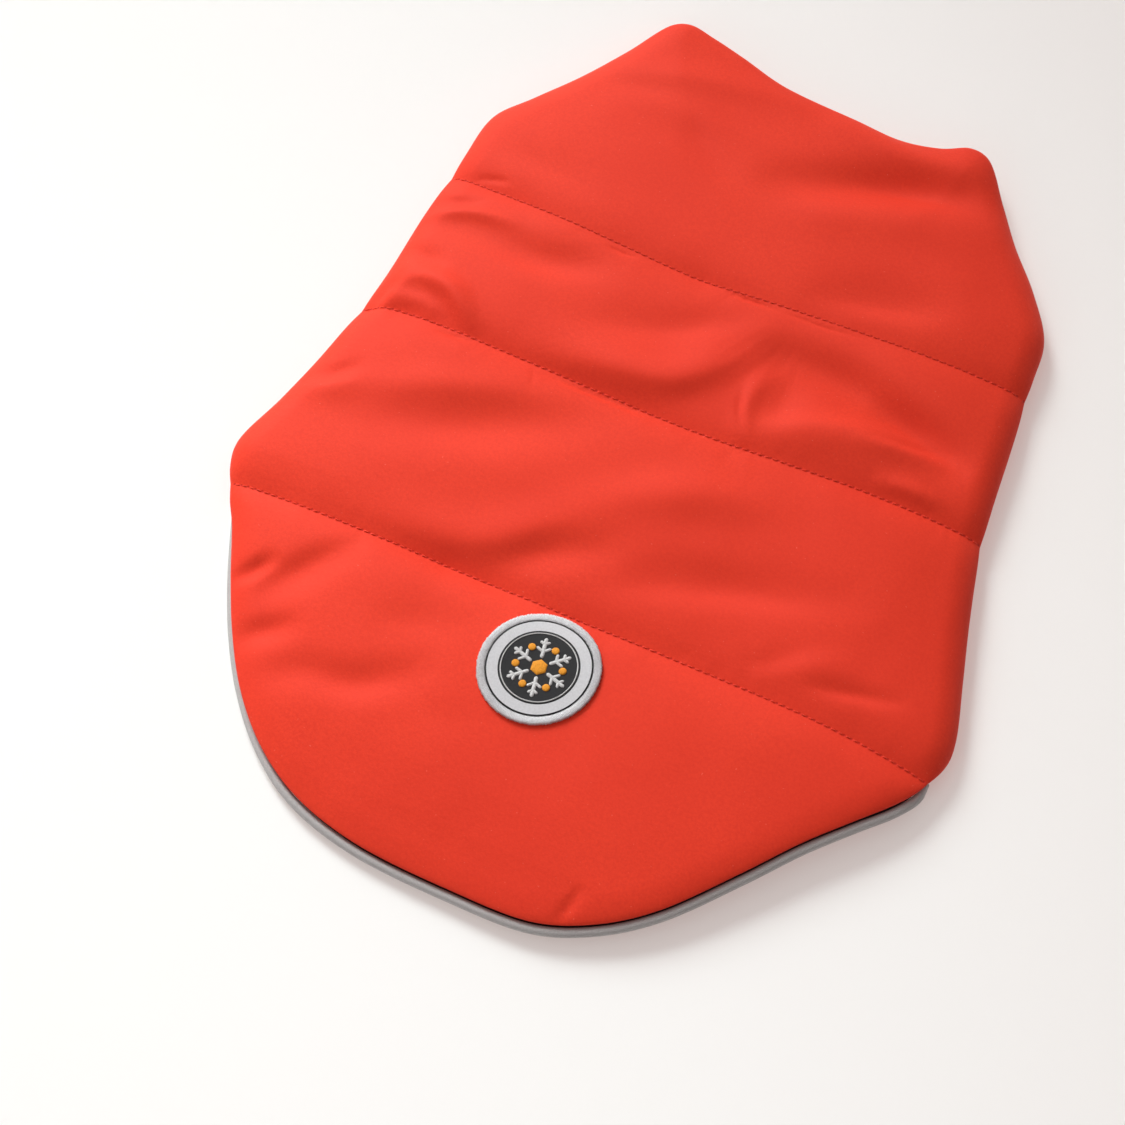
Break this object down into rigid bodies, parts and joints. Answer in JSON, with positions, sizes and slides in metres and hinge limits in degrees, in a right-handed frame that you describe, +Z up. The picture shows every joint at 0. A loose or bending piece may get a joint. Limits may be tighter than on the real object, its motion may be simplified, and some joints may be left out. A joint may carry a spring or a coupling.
{
  "type": "cat winter coat",
  "caption": "Red quilted padded coat for a cat, folded shut and laid flat with its back up: grey piping round the tail hem, a round patch near the tail.",
  "frame": {"origin": "middle of the coat's bounding box, on the table it lies on", "axes": "+Z up from the table, +Y from the tail hem to the neck, +X to the right across the back"},
  "size_m": [0.2555, 0.3235, 0.0191],
  "materials": {
    "red_softshell": "matt brushed softshell",
    "folded_softshell": "matt brushed softshell, dark lining between the layers",
    "grey_piping": "smooth woven piping with a faint silver sheen",
    "black_tape": "matt woven tape",
    "patch_field": "matt woven badge",
    "patch_border": "pale grey overlocked thread"
  },
  "bodies": {
    "root": {"back_panel": "red_softshell", "folded_layers": "folded_softshell", "hem_piping": "grey_piping", "piping_tape": "black_tape", "patch": "patch_field", "patch_border": "patch_border"}
  },
  "joints": []
}
